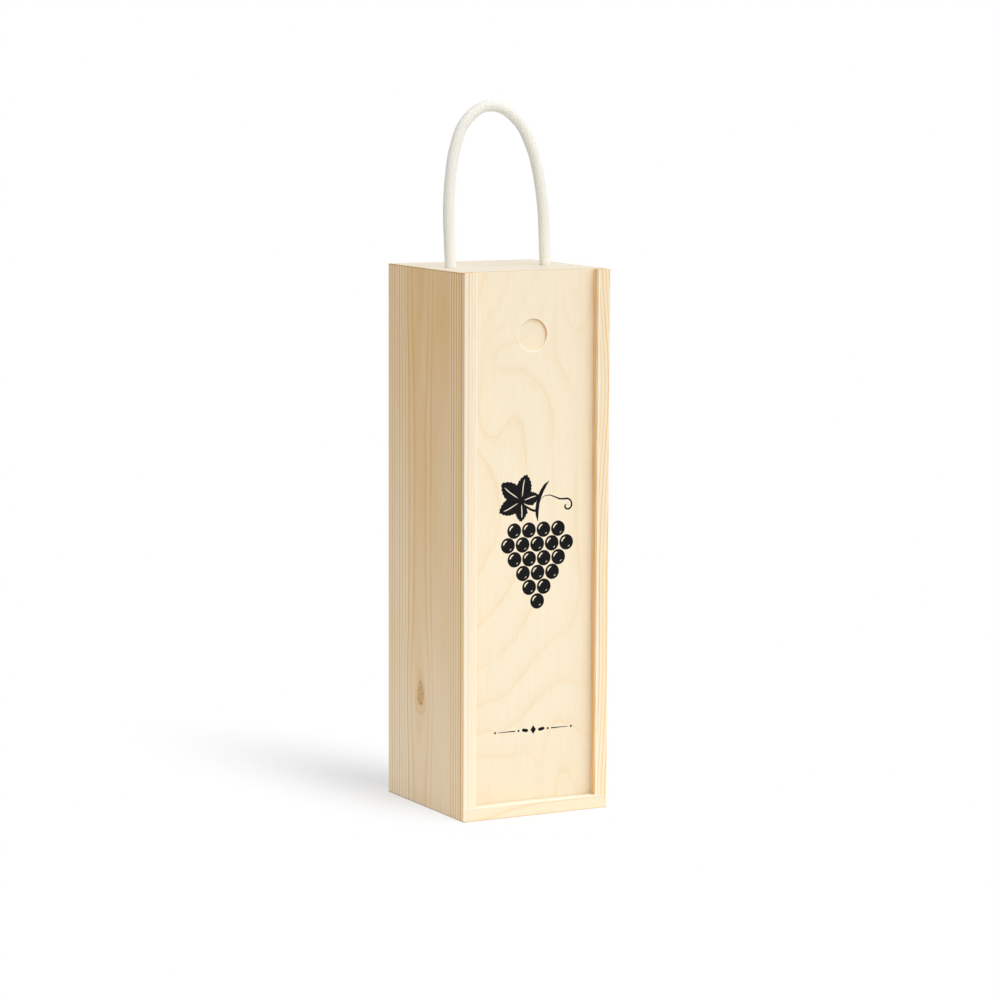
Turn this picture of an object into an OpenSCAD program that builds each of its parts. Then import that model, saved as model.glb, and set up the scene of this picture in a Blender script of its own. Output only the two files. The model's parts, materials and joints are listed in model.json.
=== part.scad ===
// Tall box for one bottle: pine boards, a plywood lid that slides up and out, and a rope handle.
// The origin is the middle of the base, +Z is up, and the lid faces -Y.

/* [Box] */
// Outside width, from side to side
box_w = 108; // [96:1:130]
// Outside depth, from front to back
box_d = 112; // [100:1:140]
// Outside height without the rope
box_h = 360; // [320:1:400]

/* [Boards] */
// Thickness of the two side boards
side_t = 9; // [8:0.5:12]
// Thickness of the top board
top_t = 9; // [8:0.5:14]
// Thickness of the bottom board
bottom_t = 9; // [8:0.5:14]
// Wood that the rebates leave on the outer face of a side board
tongue_t = 2; // [1.5:0.5:3]
// Width of the bevel along the outer corners of the side boards
arris = 0.6; // [0.3:0.1:1]

/* [Lid] */
// Thickness of the plywood lid
lid_t = 4; // [3:0.5:5]
// Distance from the front of the side boards back to the lid groove
lid_setback = 7; // [5:0.5:9]
// Depth of the lid grooves in the side boards
groove_depth = 4; // [3:0.5:5]
// Depth of the groove in the bottom board that takes the foot of the lid
foot_groove_depth = 3; // [2:0.5:4]
// Gap between the lid and each wall of its grooves
lid_play = 0.3; // [0.2:0.05:0.5]
// Diameter of the thumb recess
thumb_d = 21.5; // [16:0.5:28]
// Depth of the thumb recess
thumb_depth = 2; // [1:0.25:2.5]
// Distance from the top of the lid down to the middle of the thumb recess
thumb_drop = 42; // [25:1:70]

/* [Back] */
// Thickness of the plywood back panel
back_t = 4; // [3:0.5:5]
// Height of the lip that the top and bottom boards keep behind the back panel
panel_lip = 3; // [2:0.5:4]
// Number of panel pins along each side board
side_pins = 4; // [3:1:6]
// Number of panel pins along the top board, and along the bottom board
end_pins = 2; // [1:1:3]
// Distance from the outer pins of a side board to the ends of the box
pin_inset = 30; // [20:1:50]
// Diameter of a pin's shank
pin_d = 1.2; // [1:0.1:1.6]
// Length of a pin
pin_length = 12; // [9:1:16]
// Diameter of a pin's head
pin_head_d = 2.4; // [2:0.1:3]
// Thickness of a pin's head
pin_head_t = 0.6; // [0.4:0.1:0.8]
// How far a pin's head is set below the face of the panel
pin_sink = 0.2; // [0.1:0.1:0.4]

/* [Rope handle] */
// Diameter of the rope
rope_d = 7.5; // [6:0.25:8]
// Distance between the middles of the two rope holes
hole_spacing = 71; // [62:1:76]
// Angle by which the rope's legs lean back
rope_lean = 5; // [0:0.5:8]
// Least gap between the leaning rope and its upright hole
hole_play = 0.2; // [0.1:0.05:0.6]
// Width of the eased rim of a rope hole
hole_ease = 0.6; // [0.3:0.1:1]
// Length of the tail below a knot
tail_length = 10; // [4:1:20]
// Gap between a knot and the underside of the top board
knot_play = 0.3; // [0.2:0.05:0.5]

/* [Hidden] */

pine = "Wheat";
pale_pine = "Cornsilk";
plywood = "BlanchedAlmond";
steel = "Silver";
cotton = "Ivory";

overcut = 1;
round_fn = 64;
pin_fn = 24;
rope_sides = 12;

// Faces that several pieces share
front_y = -box_d / 2;
back_y = box_d / 2;
inner_x = box_w / 2 - side_t;
rebate_x = box_w / 2 - tongue_t;
groove_x = inner_x + groove_depth;
groove_front_y = front_y + lid_setback;
groove_back_y = groove_front_y + lid_t + 2 * lid_play;
panel_y = back_y - back_t;
under_top_z = box_h - top_t;

legs_x = hole_spacing / 2;

// The legs lean about the middle of the top board, so that they pass its upright holes
function leg_y(z) = (z - (box_h - top_t / 2)) * tan(rope_lean);

// Middle line of the rope above the box, from either hole to the crown of the loop,
// as [distance inward from the hole, back from the line of the leg, up from the top]
half_loop = [
    [0, 0, 0], [0, 0, 16], [0, 0, 32], [0.5, 0, 42], [1.5, 0, 52], [3, 0, 62],
    [5, 0.3, 72], [8, 0.7, 81], [12, 1.1, 90], [17, 1.4, 96.5], [23, 1.7, 101.5], [30.5, 2, 105]
];
knot_top_z = under_top_z - knot_play;
neck_z = knot_top_z + 0.8;
neck_y = leg_y(neck_z);
half_points = len(half_loop);
rope_route = concat(
    [[-legs_x, neck_y, knot_top_z], [-legs_x, neck_y, neck_z]],
    [for (p = half_loop) [p[0] - legs_x, p[1] + leg_y(box_h + p[2]), box_h + p[2]]],
    [for (i = [1:half_points]) let (p = half_loop[half_points - i])
        [legs_x - p[0], p[1] + leg_y(box_h + p[2]), box_h + p[2]]],
    [[legs_x, neck_y, neck_z], [legs_x, neck_y, knot_top_z]]
);

// Middle line of half an overhand knot, from its neck under the top board down to its middle,
// as [across, back, up]. The other half is the same, given half a turn about the Y axis
half_knot = [
    [3, -5.5, 18.5], [3, -5.5, 17], [3, -5.5, 15.5], [2.5, -7, 10.5], [0, -8.5, 7], [-3.5, -10.5, 3.5],
    [-4.5, -13.5, -1], [-4, -15.5, -5.5], [-2, -16, -10], [1, -14, -13.5], [4.5, -10, -14],
    [5.5, -5.5, -12.5], [5, -2, -9], [2.5, -1, -4.5], [0, -1, 0]
];
knot_steps = 2;
neck = half_knot[0];
half_knot_points = len(half_knot);
knot_route = smooth(concat(
    half_knot,
    [for (i = [2:half_knot_points]) let (p = half_knot[half_knot_points - i]) [-p[0], p[1], -p[2]]],
    [[-neck[0], neck[1], -neck[2] - tail_length]]
), knot_steps);

function unit(v) = v / norm(v);

// Point at t, from 0 to 1, on the smooth curve between b and c, with a before them and d after them
function curve_point(a, b, c, d, t) =
    (2 * b + (c - a) * t + (2 * a - 5 * b + 4 * c - d) * t ^ 2 + (3 * b - 3 * c + d - a) * t ^ 3) / 2;

// Smooth curve through all the points, in so many steps between each two
function smooth(points, steps) =
    let (last = len(points) - 1)
    concat(
        [for (i = [0:last - 1]) for (k = [0:steps - 1])
            curve_point(points[max(i - 1, 0)], points[i], points[i + 1], points[min(i + 2, last)], k / steps)],
        [points[last]]
    );

// Direction of a route at point i
function heading(route, i) =
    unit(route[min(i + 1, len(route) - 1)] - route[max(i - 1, 0)]);

// The part of a direction that is square to another one
function square_to(side, along) = unit(side - (side * along) * along);

// A direction square to the route at each of its points, carried along it without twist
function sides_of(route) =
    [for (
        i = 0, side = square_to([1, 0, 0], heading(route, 0));
        i < len(route);
        i = i + 1, side = i < len(route) ? square_to(side, heading(route, i)) : side
    ) side];

// Ring of points round the route at point i, square to it
function ring(route, i, side, r) =
    let (across = cross(heading(route, i), side))
    [for (k = [0:rope_sides - 1]) let (a = 360 * k / rope_sides) route[i] + r * (cos(a) * side + sin(a) * across)];

// Closed tube along a route, in triangles
module tube(route, r) {
    n = len(route);
    s = rope_sides;
    sides = sides_of(route);
    points = [for (i = [0:n - 1]) each ring(route, i, sides[i], r)];
    walls = [for (i = [0:n - 2]) for (k = [0:s - 1])
        let (a = i * s + k)
        let (b = i * s + (k + 1) % s)
        each [[a, a + s, b], [b, a + s, b + s]]];
    start_cap = [for (k = [1:s - 2]) [0, k, k + 1]];
    end_cap = [for (k = [1:s - 2]) [(n - 1) * s, (n - 1) * s + k + 1, (n - 1) * s + k]];
    polyhedron(points, concat(walls, start_cap, end_cap));
}

// Plan of the right side board, with its lid groove and the rebate for the back panel
module side_plan() {
    difference() {
        polygon([
            [inner_x, front_y], [box_w / 2 - arris, front_y], [box_w / 2, front_y + arris],
            [box_w / 2, back_y - arris], [box_w / 2 - arris, back_y], [inner_x, back_y]
        ]);
        translate([inner_x - overcut, groove_front_y])
            square([groove_depth + overcut, groove_back_y - groove_front_y]);
        translate([inner_x - overcut, panel_y])
            square([rebate_x - inner_x + overcut, back_t + overcut]);
    }
}

// Right side board: its lower end is rebated for the bottom board, its upper end for the top board
module side_board() {
    difference() {
        linear_extrude(height = box_h) side_plan();
        translate([inner_x - overcut, front_y - overcut, -overcut])
            cube([rebate_x - inner_x + overcut, box_d + 2 * overcut, bottom_t + overcut]);
        translate([inner_x - overcut, groove_back_y, under_top_z])
            cube([rebate_x - inner_x + overcut, back_y - groove_back_y + overcut, top_t + overcut]);
    }
}

module side_right() {
    color(pine) side_board();
}

module side_left() {
    color(pine) mirror([1, 0, 0]) side_board();
}

// Hole for the rope through the top board, with both rims eased
module rope_hole() {
    hole_r = rope_d / 2 + hole_play + top_t / 2 * tan(rope_lean);
    translate([0, 0, under_top_z - overcut]) cylinder(h = top_t + 2 * overcut, r = hole_r, $fn = round_fn);
    translate([0, 0, box_h - hole_ease]) cylinder(h = hole_ease, r1 = hole_r, r2 = hole_r + hole_ease, $fn = round_fn);
    translate([0, 0, under_top_z]) cylinder(h = hole_ease, r1 = hole_r + hole_ease, r2 = hole_r, $fn = round_fn);
}

module top_board() {
    color(pale_pine) difference() {
        translate([-rebate_x, groove_back_y, under_top_z])
            cube([2 * rebate_x, back_y - groove_back_y, top_t]);
        translate([-rebate_x - overcut, panel_y, under_top_z - overcut])
            cube([2 * (rebate_x + overcut), back_t + overcut, top_t - panel_lip + overcut]);
        for (x = [-legs_x, legs_x]) translate([x, 0, 0]) rope_hole();
    }
}

module bottom_board() {
    color(pale_pine) difference() {
        translate([-rebate_x, front_y, 0]) cube([2 * rebate_x, box_d, bottom_t]);
        translate([-rebate_x - overcut, groove_front_y, bottom_t - foot_groove_depth])
            cube([2 * (rebate_x + overcut), groove_back_y - groove_front_y, foot_groove_depth + overcut]);
        translate([-rebate_x - overcut, panel_y, panel_lip])
            cube([2 * (rebate_x + overcut), back_t + overcut, bottom_t - panel_lip + overcut]);
    }
}

// Places of the panel pins on the back of the box, as [across, up]
side_pin_x = (inner_x + rebate_x) / 2;
side_pin_step = (box_h - 2 * pin_inset) / (side_pins - 1);
end_pin_step = 2 * inner_x / (end_pins + 1);
bottom_pin_z = (bottom_t + panel_lip) / 2;
top_pin_z = box_h - (top_t + panel_lip) / 2;
pin_places = concat(
    [for (x = [-side_pin_x, side_pin_x]) for (i = [0:side_pins - 1]) [x, pin_inset + i * side_pin_step]],
    [for (z = [bottom_pin_z, top_pin_z]) for (i = [1:end_pins]) [-inner_x + i * end_pin_step, z]]
);

// Puts its children at each pin's place, with +Z turned to point out of the back panel
module at_pins() {
    for (p = pin_places) translate([p[0], back_y, p[1]]) rotate([-90, 0, 0]) children();
}

module back_panel() {
    color(plywood) difference() {
        translate([-rebate_x, panel_y, panel_lip]) cube([2 * rebate_x, back_t, box_h - 2 * panel_lip]);
        at_pins() translate([0, 0, -pin_sink - pin_head_t])
            cylinder(h = pin_sink + pin_head_t + overcut, d = pin_head_d, $fn = pin_fn);
    }
}

module panel_pins() {
    color(steel) at_pins() translate([0, 0, -pin_sink]) {
        translate([0, 0, -pin_head_t]) cylinder(h = pin_head_t, d = pin_head_d, $fn = pin_fn);
        translate([0, 0, -pin_length]) cylinder(h = pin_length - pin_head_t, d = pin_d, $fn = pin_fn);
    }
}

// Lid, closed: its foot is in the bottom board's groove and its upper end is level with the top
module sliding_lid() {
    lid_half_w = groove_x - lid_play;
    lid_y = groove_front_y + lid_play;
    lid_z = bottom_t - foot_groove_depth + lid_play;
    color(plywood) difference() {
        translate([-lid_half_w, lid_y, lid_z]) cube([2 * lid_half_w, lid_t, box_h - lid_z]);
        translate([0, lid_y + thumb_depth, box_h - thumb_drop]) rotate([90, 0, 0])
            cylinder(h = thumb_depth + overcut, d = thumb_d, $fn = round_fn);
    }
}

module rope_handle() {
    color(cotton) tube(rope_route, rope_d / 2);
}

// Overhand knot in the end of the rope, its neck on the rope's axis, with a tail below
module knot() {
    color(cotton) translate([-neck[0], -neck[1], knot_top_z - neck[2]]) tube(knot_route, rope_d / 2);
}

module knot_left() {
    translate([-legs_x, neck_y, 0]) rotate([0, 0, 180]) knot();
}

module knot_right() {
    translate([legs_x, neck_y, 0]) knot();
}

side_left();
side_right();
top_board();
bottom_board();
back_panel();
panel_pins();
sliding_lid();
rope_handle();
knot_left();
knot_right();
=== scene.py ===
import json
import math

import bpy
from mathutils import Matrix, Vector

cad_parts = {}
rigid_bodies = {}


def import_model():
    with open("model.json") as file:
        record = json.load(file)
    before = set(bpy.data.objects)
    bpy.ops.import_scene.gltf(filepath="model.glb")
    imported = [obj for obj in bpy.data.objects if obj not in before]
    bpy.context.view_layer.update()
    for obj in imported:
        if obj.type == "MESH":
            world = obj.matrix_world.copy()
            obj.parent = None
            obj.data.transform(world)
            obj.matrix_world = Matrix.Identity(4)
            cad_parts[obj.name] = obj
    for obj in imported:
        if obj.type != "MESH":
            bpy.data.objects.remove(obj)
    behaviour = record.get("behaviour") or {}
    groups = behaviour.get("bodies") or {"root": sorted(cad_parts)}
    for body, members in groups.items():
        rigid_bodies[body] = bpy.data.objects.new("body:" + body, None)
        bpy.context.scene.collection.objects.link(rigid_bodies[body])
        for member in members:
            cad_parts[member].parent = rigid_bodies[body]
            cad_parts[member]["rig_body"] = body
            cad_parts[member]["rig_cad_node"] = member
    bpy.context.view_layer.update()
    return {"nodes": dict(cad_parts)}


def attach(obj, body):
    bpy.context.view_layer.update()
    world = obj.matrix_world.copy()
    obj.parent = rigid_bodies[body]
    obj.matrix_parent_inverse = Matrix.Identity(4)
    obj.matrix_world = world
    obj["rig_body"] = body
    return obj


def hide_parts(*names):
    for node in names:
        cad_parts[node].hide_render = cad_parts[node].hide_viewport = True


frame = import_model()
nodes = frame["nodes"]
scene = bpy.context.scene
scene.view_settings.view_transform = "Standard"


# Small helpers

def linear(hex_colour):
    """An sRGB hex colour as the linear colour that a shader takes."""
    parts = [int(hex_colour[i:i + 2], 16) / 255 for i in (1, 3, 5)]
    return tuple(c / 12.92 if c <= 0.04045 else ((c + 0.055) / 1.055) ** 2.4 for c in parts) + (1.0,)


def add(tree, kind, inputs=(), out=0, stops=(), **settings):
    """Adds a node with its settings. Each input is a value, or the output of another node. The stops of a
    ramp are places from 0 to 1, each with a grey level or an sRGB hex colour, its two ends first."""
    node = tree.nodes.new(kind)
    for name, value in settings.items():
        setattr(node, name, value)
    for key, value in dict(inputs).items():
        if isinstance(value, bpy.types.NodeSocket):
            tree.links.new(value, node.inputs[key])
        else:
            node.inputs[key].default_value = value
    for n, (position, tone) in enumerate(stops):
        stop = node.color_ramp.elements[n] if n < 2 else node.color_ramp.elements.new(position)
        stop.position = position
        stop.color = linear(tone) if isinstance(tone, str) else (tone, tone, tone, 1)
    return node.outputs[out]


def new_material(name):
    """An empty material with its Principled shader and its node tree."""
    material = bpy.data.materials.new(name)
    material.use_nodes = True
    shader = material.node_tree.nodes["Principled BSDF"]
    return material, material.node_tree, shader


def wear(obj, material):
    """Gives a piece its one material."""
    obj.data.materials.clear()
    obj.data.materials.append(material)


def select_only(obj):
    """Selects one object alone, and makes it the active one."""
    bpy.ops.object.select_all(action="DESELECT")
    obj.select_set(True)
    bpy.context.view_layer.objects.active = obj


# Camera, at the photograph's angle: a long lens a little left of the front and a little above

TURN, RISE, ROLL = -0.486879262, 0.128407340, 0.00368527392      # radians
MIDDLE = Vector((0, 0, 0.180))                                   # of the box, in metres
DISTANCE, SHIFT_RIGHT, SHIFT_UP = 2.457157, 0.001679, 0.023488   # from there to the camera, in metres
LENS, SENSOR = 132.172, 36                                       # mm

backward = Vector((math.sin(TURN) * math.cos(RISE), -math.cos(TURN) * math.cos(RISE), math.sin(RISE)))
level_right = (-backward).cross(Vector((0, 0, 1))).normalized()
level_up = level_right.cross(-backward)
right = math.cos(ROLL) * level_right + math.sin(ROLL) * level_up
up = -math.sin(ROLL) * level_right + math.cos(ROLL) * level_up
eye = MIDDLE + SHIFT_RIGHT * right + SHIFT_UP * up + DISTANCE * backward

lens = bpy.data.cameras.new("camera")
lens.lens = LENS
lens.sensor_width = SENSOR
lens.clip_start, lens.clip_end = 0.05, 50
camera = bpy.data.objects.new("camera", lens)
scene.collection.objects.link(camera)
camera.matrix_world = Matrix((
    (right.x, up.x, backward.x, eye.x),
    (right.y, up.y, backward.y, eye.y),
    (right.z, up.z, backward.z, eye.z),
    (0, 0, 0, 1),
))
scene.camera = camera


# Rope: one length of fine braided cotton, through both holes, with an overhand knot under each. In metres

ROPE_R = 0.00375        # half of its thickness
ROPE_ROUND = 0.02356    # distance round the rope
BOX_TOP = 0.360
TOP_BOARD = 0.009
KNOT_TOP = 0.3507       # where the rope comes out of a knot
NECK_Z = KNOT_TOP + 0.0008
LEG_X = 0.0355          # from the middle to either hole
LEAN = math.radians(5)
TAIL = 0.010            # what hangs down past a knot
YARNS = 14              # yarns that run each way round the rope
YARN_POINTS = 6         # points across each yarn
YARN_RISE = 0.00090     # how far a yarn climbs while it passes one yarn of the other way
YARN_SUNK = 0.00022     # how deep the hollows between the yarns are
YARN_PROUD = 0.00026    # how high a yarn stands over the hollows
END_ROUND = 0.0022      # length over which the cut end of a tail rounds off
END_SHARE = 0.45        # the radius that is left at the cut end, as a share
LOOP_STEP = 0.00028     # from one ring of points to the next along the loop
KNOT_STEP = 0.00036     # and along a knot
CURVE_STEPS = 40        # points on the smooth curve between two given ones

# From either hole to the crown: distance inward, back from the leaning leg, and up from the top, in mm
HALF_LOOP = [
    (0, 0, 0), (0, 0, 16), (0, 0, 32), (0.5, 0, 42), (1.5, 0, 52), (3, 0, 62),
    (5, 0.3, 72), (8, 0.7, 81), (12, 1.1, 90), (17, 1.4, 96.5), (23, 1.7, 101.5), (30.5, 2, 105),
]
# From the neck of an overhand knot to its middle: across, back, up, in mm
HALF_KNOT = [
    (3, -5.5, 18.5), (3, -5.5, 17), (3, -5.5, 15.5), (2.5, -7, 10.5), (0, -8.5, 7), (-3.5, -10.5, 3.5),
    (-4.5, -13.5, -1), (-4, -15.5, -5.5), (-2, -16, -10), (1, -14, -13.5), (4.5, -10, -14),
    (5.5, -5.5, -12.5), (5, -2, -9), (2.5, -1, -4.5), (0, -1, 0),
]


def smooth_line(points, spacing):
    """Points a set distance apart on the smooth curve through the given ones."""
    fine = []
    for i in range(len(points) - 1):
        a, b = points[max(i - 1, 0)], points[i]
        c, d = points[i + 1], points[min(i + 2, len(points) - 1)]
        for k in range(CURVE_STEPS):
            t = k / CURVE_STEPS
            fine.append((2 * b + (c - a) * t + (2 * a - 5 * b + 4 * c - d) * t ** 2
                         + (3 * b - 3 * c + d - a) * t ** 3) / 2)
    fine.append(points[-1])
    total = sum((q - p).length for p, q in zip(fine, fine[1:]))
    steps = round(total / spacing)
    line, walked, i = [fine[0]], 0.0, 0
    for k in range(1, steps):
        target = total * k / steps
        while walked + (fine[i + 1] - fine[i]).length < target:
            walked += (fine[i + 1] - fine[i]).length
            i += 1
        piece = fine[i + 1] - fine[i]
        line.append(fine[i] + piece * ((target - walked) / piece.length))
    line.append(fine[-1])
    return line, total


def yarn_height(around, along):
    """Height of the braid, 0 to 1: each yarn goes over two yarns of the other way, then under two."""
    a, b = around + along, around - along
    i, j = math.floor(a), math.floor(b)
    if (i + j) % 4 < 2:
        across, run = a - i, (b - j + (i + j) % 4) / 2
    else:
        across, run = b - j, (a - i + (i + j) % 4 - 2) / 2
    return (1 - abs(2 * across - 1) ** 2.4) * (1 - 0.55 * abs(2 * run - 1) ** 3)


def braided_rope(name, points, spacing, round_end=False):
    """A closed tube of braided yarn along the points, and the line that it follows."""
    line, total = smooth_line([Vector(p) for p in points], spacing)
    sides = YARN_POINTS * YARNS
    side = Vector((1, 0, 0))
    verts, uvs, heights = [], [], []
    for n, centre in enumerate(line):
        forward = (line[min(n + 1, len(line) - 1)] - line[max(n - 1, 0)]).normalized()
        side = (side - side.dot(forward) * forward).normalized()
        across = forward.cross(side)
        walked = total * n / (len(line) - 1)
        radius = ROPE_R
        if round_end:
            left = min(1.0, (total - walked) / END_ROUND)
            radius = ROPE_R * (END_SHARE + (1 - END_SHARE) * math.sqrt(max(0.0, 1 - (1 - left) ** 2)))
        for k in range(sides):
            turn = 2 * math.pi * k / sides
            height = yarn_height(YARNS * k / sides, walked / (2 * YARN_RISE))
            r = radius - YARN_SUNK + YARN_PROUD * height
            verts.append(centre + r * (math.cos(turn) * side + math.sin(turn) * across))
            heights.append(height)
            uvs.append((k / sides, walked))
    last = (len(line) - 1) * sides
    faces = [
        (n * sides + k, n * sides + (k + 1) % sides, (n + 1) * sides + (k + 1) % sides, (n + 1) * sides + k)
        for n in range(len(line) - 1) for k in range(sides)
    ]
    faces.append(tuple(reversed(range(sides))))
    faces.append(tuple(last + k for k in range(sides)))
    mesh = bpy.data.meshes.new(name)
    mesh.from_pydata(verts, [], faces)
    mesh.attributes.new("yarn", "FLOAT", "POINT").data.foreach_set("value", heights)
    layer = mesh.uv_layers.new(name="rope")
    for face in mesh.polygons:
        for loop in face.loop_indices:
            vertex = mesh.loops[loop].vertex_index
            around, along = uvs[vertex]
            if around == 0 and any(uvs[mesh.loops[m].vertex_index][0] > 0.9 for m in face.loop_indices):
                around = 1.0
            layer.data[loop].uv = (around * ROPE_ROUND, along)
    mesh.validate()
    obj = bpy.data.objects.new(name, mesh)
    scene.collection.objects.link(obj)
    select_only(obj)
    bpy.ops.object.shade_smooth()
    return obj, line, total


def leg_y(z):
    """How far back a leg is at a height. The legs lean about the middle of the top board."""
    return (z - (BOX_TOP - TOP_BOARD / 2)) * math.tan(LEAN)


NECK_Y = leg_y(NECK_Z)
left_half = [(x * 0.001 - LEG_X, y * 0.001 + leg_y(BOX_TOP + z * 0.001), BOX_TOP + z * 0.001)
             for x, y, z in HALF_LOOP]
right_half = [(-x, y, z) for x, y, z in reversed(left_half)]
rope_route = ([(-LEG_X, NECK_Y, KNOT_TOP), (-LEG_X, NECK_Y, NECK_Z)] + left_half + right_half
              + [(LEG_X, NECK_Y, NECK_Z), (LEG_X, NECK_Y, KNOT_TOP)])
rope, rope_line, rope_length = braided_rope("rope_loop", rope_route, LOOP_STEP)

knot_half = [(x * 0.001, y * 0.001, z * 0.001) for x, y, z in HALF_KNOT]
knot_points = knot_half + [(-x, y, -z) for x, y, z in reversed(knot_half[:-1])]
neck = knot_points[0]
knot_points.append((-neck[0], neck[1], -neck[2] - TAIL))
knots = []
for name, node, sign in (("rope_knot_left", "knot_left", -1), ("rope_knot_right", "knot_right", 1)):
    placed = [(sign * (LEG_X + x - neck[0]), NECK_Y + sign * (y - neck[1]), KNOT_TOP + z - neck[2])
              for x, y, z in knot_points]
    knot = braided_rope(name, placed, KNOT_STEP, round_end=True)[0]
    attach(knot, "handle")
    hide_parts(node)
    knots.append(knot)

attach(rope, "handle")
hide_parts("rope_handle")


# Boards, lid and pins: each is its CAD piece with the sharp edges taken off, as sandpaper leaves them

def eased_copy(node, name, body, ease):
    """A copy of a CAD piece with its sharp edges broken over a small width, which takes the piece's place."""
    select_only(nodes[node])
    bpy.ops.object.duplicate()
    piece = bpy.context.object
    piece.name = name
    piece.data.name = name
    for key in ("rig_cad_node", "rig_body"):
        if key in piece:
            del piece[key]
    bpy.ops.object.parent_clear(type="CLEAR_KEEP_TRANSFORM")
    bpy.ops.object.mode_set(mode="EDIT")
    bpy.ops.mesh.select_all(action="SELECT")
    bpy.ops.mesh.remove_doubles(threshold=0.00001)
    bpy.ops.mesh.dissolve_limited(angle_limit=math.radians(0.5))
    bpy.ops.object.mode_set(mode="OBJECT")
    bevel = piece.modifiers.new("ease", "BEVEL")
    bevel.width = ease
    bevel.segments = 2
    bevel.limit_method = "ANGLE"
    bevel.angle_limit = math.radians(30)
    bpy.ops.object.modifier_apply(modifier="ease")
    bpy.ops.object.shade_smooth_by_angle(angle=math.radians(35))
    even = piece.modifiers.new("even", "WEIGHTED_NORMAL")
    even.keep_sharp = True
    bpy.ops.object.modifier_apply(modifier="even")
    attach(piece, body)
    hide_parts(node)
    return piece


SIDE_EASE, EASE = 0.00022, 0.00020
side_left = eased_copy("side_left", "side_board_left", "box", SIDE_EASE)
side_right = eased_copy("side_right", "side_board_right", "box", SIDE_EASE)
top = eased_copy("top_board", "top_board_sanded", "box", EASE)
bottom = eased_copy("bottom_board", "bottom_board_sanded", "box", EASE)
back = eased_copy("back_panel", "back_panel_sanded", "box", EASE)
lid = eased_copy("sliding_lid", "lid_sanded", "lid", EASE)
pins = eased_copy("panel_pins", "panel_pins_domed", "box", EASE)


# Print on the lid: a bunch of grapes over a thin rule, flat shapes in one dark ink

LID_FACE = -0.0487      # where the front of the lid lies, in metres
INK_T = 0.00005         # thickness of the ink
INK_SUNK = 0.00001      # how far it sinks into the wood


def strip(points, width):
    """Outline of a pen stroke along the points, pointed at both ends."""
    left, right = [], []
    for n, (x, z) in enumerate(points):
        before, after = points[max(n - 1, 0)], points[min(n + 1, len(points) - 1)]
        dx, dz = after[0] - before[0], after[1] - before[1]
        reach = width / 2 * min(1.0, 0.12 + 1.5 * math.sin(math.pi * n / (len(points) - 1))) / math.hypot(dx, dz)
        left.append((x - dz * reach, z + dx * reach))
        right.append((x + dz * reach, z - dx * reach))
    return left + right[::-1]


def arc(x, z, radius, start, end, steps):
    """Points round a centre, from one angle to the other in degrees."""
    turns = [math.radians(start + (end - start) * k / steps) for k in range(steps + 1)]
    return [(x + radius * math.cos(t), z + radius * math.sin(t)) for t in turns]


def printed(name, outlines, over=0.0):
    """A flat closed shape on the lid's face, from outlines in mm. One outline inside another is bare wood.
    What crosses another shape lies a hair over it."""
    drawing = bpy.data.curves.new(name, "CURVE")
    drawing.dimensions = "2D"
    drawing.fill_mode = "BOTH"
    drawing.extrude = INK_T / 2
    for outline in outlines:
        spline = drawing.splines.new("POLY")
        spline.points.add(len(outline) - 1)
        for point, (x, z) in zip(spline.points, outline):
            point.co = (x * 0.001, z * 0.001, 0, 1)
        spline.use_cyclic_u = True
    shape = bpy.data.objects.new(name, drawing)
    scene.collection.objects.link(shape)
    shape.location = (0, LID_FACE - INK_T / 2 + INK_SUNK - over, 0)
    shape.rotation_euler = (math.radians(90), 0, 0)
    select_only(shape)
    bpy.ops.object.convert(target="MESH")
    bpy.ops.object.transform_apply(location=True, rotation=True, scale=True)
    shape = bpy.context.object
    bpy.ops.object.mode_set(mode="EDIT")
    bpy.ops.mesh.select_all(action="SELECT")
    bpy.ops.mesh.remove_doubles(threshold=0.000002)
    bpy.ops.mesh.normals_make_consistent(inside=False)
    bpy.ops.object.mode_set(mode="OBJECT")
    return shape


def joined(name, shapes):
    """Several shapes made one, under a name."""
    bpy.ops.object.select_all(action="DESELECT")
    for shape in shapes:
        shape.select_set(True)
    bpy.context.view_layer.objects.active = shapes[0]
    bpy.ops.object.join()
    shapes[0].name = name
    shapes[0].data.name = name
    return shapes[0]


# A grape is a round of ink with a curved glint and a small second one left bare. The rows of the bunch
# each have a number of grapes and a shift to the right. All in mm
GRAPE_R, GLINT_R = 5.15, 3.3
GRAPE_STEP, ROW_STEP = 10.9, 9.5
BUNCH_X, BUNCH_TOP = 3, 189.5
ROWS = ((4, 0.0), (5, 0.8), (4, 0.3), (3, 1.2), (2, 0.4), (1, 1.0))
first_grape = printed("grape", [
    arc(0, 0, GRAPE_R, 0, 350, 35),
    strip(arc(0, 0, GLINT_R, 100, 178, 12), 1.0),
    strip(arc(0, 0, GLINT_R, 292, 322, 6), 0.45),
])
grapes = []
for row, (count, shift) in enumerate(ROWS):
    for k in range(count):
        select_only(first_grape)
        bpy.ops.object.duplicate()
        grape = bpy.context.object
        grape.location = ((BUNCH_X + shift + (k - (count - 1) / 2) * GRAPE_STEP) * 0.001, 0,
                          (BUNCH_TOP - ROW_STEP * row) * 0.001)
        bpy.ops.object.transform_apply(location=True, rotation=True, scale=True)
        grapes.append(grape)
bpy.data.objects.remove(first_grape)
bunch = joined("print_grapes", grapes)

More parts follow.
